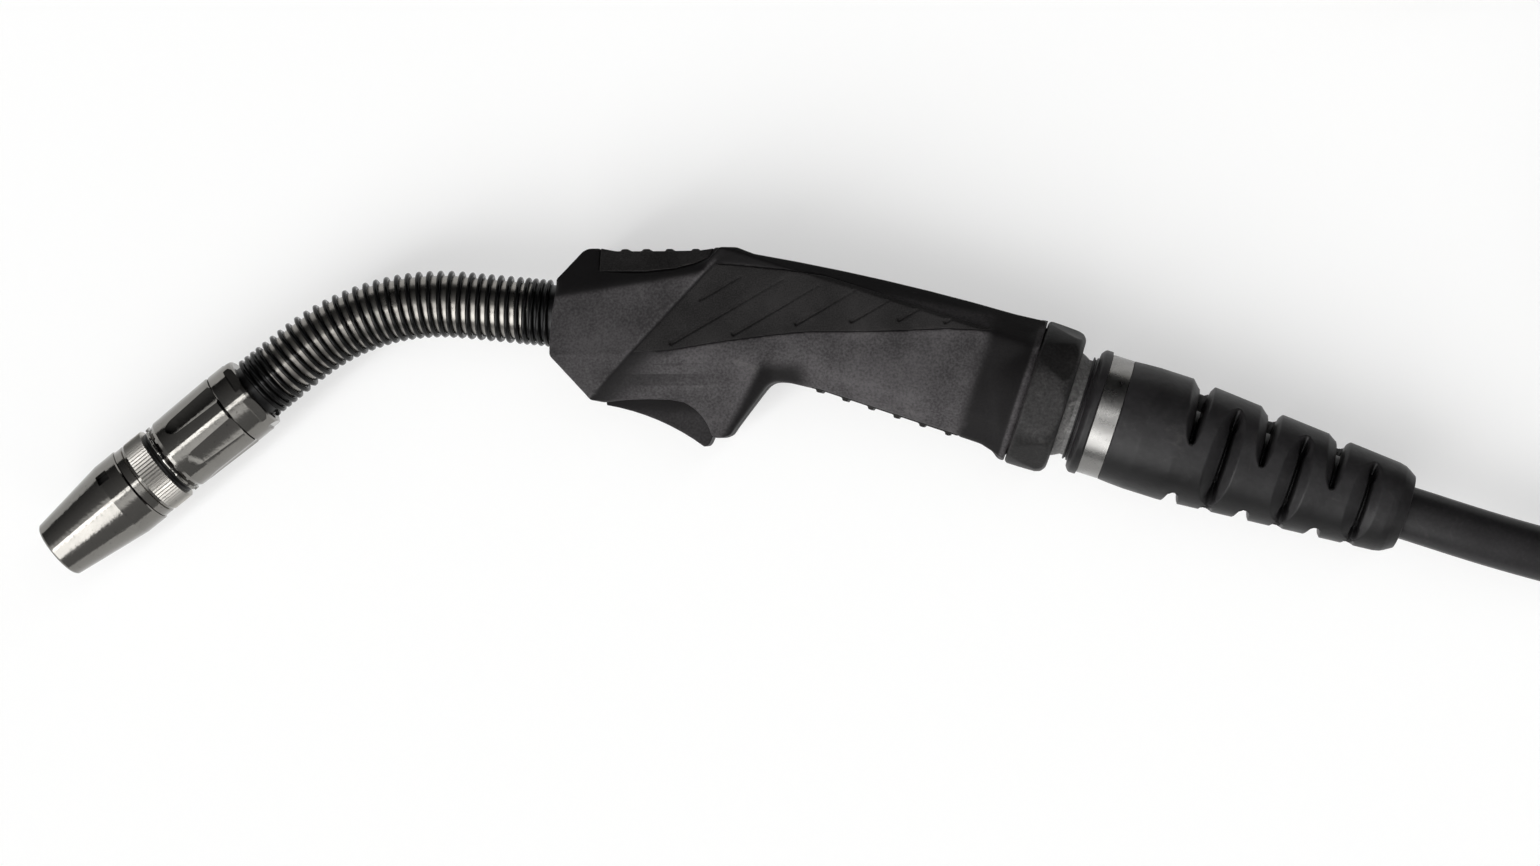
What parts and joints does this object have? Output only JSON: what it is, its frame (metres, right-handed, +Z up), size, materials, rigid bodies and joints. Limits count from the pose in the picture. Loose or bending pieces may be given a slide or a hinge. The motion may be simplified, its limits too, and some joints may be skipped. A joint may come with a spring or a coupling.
{
  "type": "mig welding torch",
  "caption": "Hand-held MIG welding torch with a bent spring-wrapped neck, gas nozzle, trigger handle, swivel cable joint, slotted boot and a coiled cable with a central connector.",
  "frame": {"origin": "on the bench under the middle of the torch, from the nozzle's mouth to the boot's end", "axes": "+X from the nozzle towards the cable, +Y towards the top of the handle, +Z up off the bench; the torch lies on its side"},
  "size_m": [0.7652, 0.2648, 0.05],
  "materials": {
    "nickel": "polished nickel plate",
    "copper": "bright copper",
    "brass": "turned brass",
    "insulator": "dark moulded",
    "ceramic": "ivory glass-filled",
    "tube_steel": "bright drawn",
    "sleeve": "moulded sleeve",
    "liner_steel": "coiled wire",
    "black_spring": "gloss black",
    "housing": "fine-grained moulded black",
    "pad_rubber": "matt rubber",
    "screw_steel": "zinc plated",
    "cable_black": "satin rubber",
    "switch_case": "moulded",
    "switch_red": "moulded",
    "lead_red": "PVC",
    "nut_plastic": "moulded black",
    "ball_grey": "worn grey moulded",
    "boot_rubber": "satin rubber",
    "band_steel": "brushed stainless",
    "tie_plastic": "nylon strap",
    "seal_rubber": "matt rubber"
  },
  "bodies": {
    "torch": {"gas_nozzle": "nickel", "nozzle_seat": "nickel", "knurled_ring": "nickel", "insulating_ring": "insulator", "fluted_body": "nickel", "neck_collar": "nickel", "contact_tip": "copper", "tip_holder": "brass", "gas_diffuser": "ceramic", "neck_tube": "tube_steel", "neck_insulation": "sleeve", "conductor_tube": "copper", "wire_liner": "liner_steel", "neck_spring": "black_spring", "handle_left": "housing", "handle_right": "housing", "inlay_left": "pad_rubber", "inlay_right": "pad_rubber", "thumb_pad": "pad_rubber", "finger_strip": "pad_rubber", "handle_screws": "screw_steel", "cable_block": "brass", "handle_cable": "cable_black", "trigger_pin": "screw_steel", "switch_body": "switch_case", "switch_leads": "lead_red", "lock_nut": "nut_plastic"},
    "trigger": {"trigger": "housing"},
    "plunger": {"switch_plunger": "switch_red"},
    "tail": {"swivel_ball": "ball_grey", "cable_boot": "boot_rubber", "band_clamp": "band_steel", "cable_core": "cable_black", "cable_run": "cable_black", "cable_coil": "cable_black", "coil_ties": "tie_plastic", "cable_tail": "cable_black", "connector_boot": "boot_rubber", "connector_grip": "housing", "connector_plug": "brass", "plug_seal": "seal_rubber", "liner_nut": "brass"},
    "hand_nut": {"hand_nut": "housing"},
    "contact_a": {"contact_pin_a": "brass"},
    "contact_b": {"contact_pin_b": "brass"}
  },
  "joints": [
    {"name": "trigger_pivot", "type": "hinge", "parent": "torch", "child": "trigger", "pos_m": [-0.0345, 0.00592, 0.025], "axis": [0, 0, 1], "range_deg": [0, 5.5], "stiffness_Nm_per_rad": 0.8},
    {"name": "plunger_slide", "type": "slide", "parent": "torch", "child": "plunger", "axis": [0, 1, 0], "range_m": [0, 0.0018]},
    {"name": "cable_swivel", "type": "hinge", "parent": "torch", "child": "tail", "pos_m": [0.11066, 0.00428, 0.025], "axis": [0, 0, 1], "range_deg": [-10, 10]},
    {"name": "hand_nut_spin", "type": "hinge", "parent": "tail", "child": "hand_nut", "pos_m": [0.2496, 0.17162, 0.0242], "axis": [1, 0, 0], "continuous": true},
    {"name": "contact_a_press", "type": "slide", "parent": "tail", "child": "contact_a", "axis": [1, 0, 0], "range_m": [0, 0.003], "stiffness_N_per_m": 800},
    {"name": "contact_b_press", "type": "slide", "parent": "tail", "child": "contact_b", "axis": [1, 0, 0], "range_m": [0, 0.003], "stiffness_N_per_m": 800}
  ],
  "couplings": [
    {"joint": "plunger_slide", "follows": "trigger_pivot", "m_per_rad": 0.0185}
  ]
}
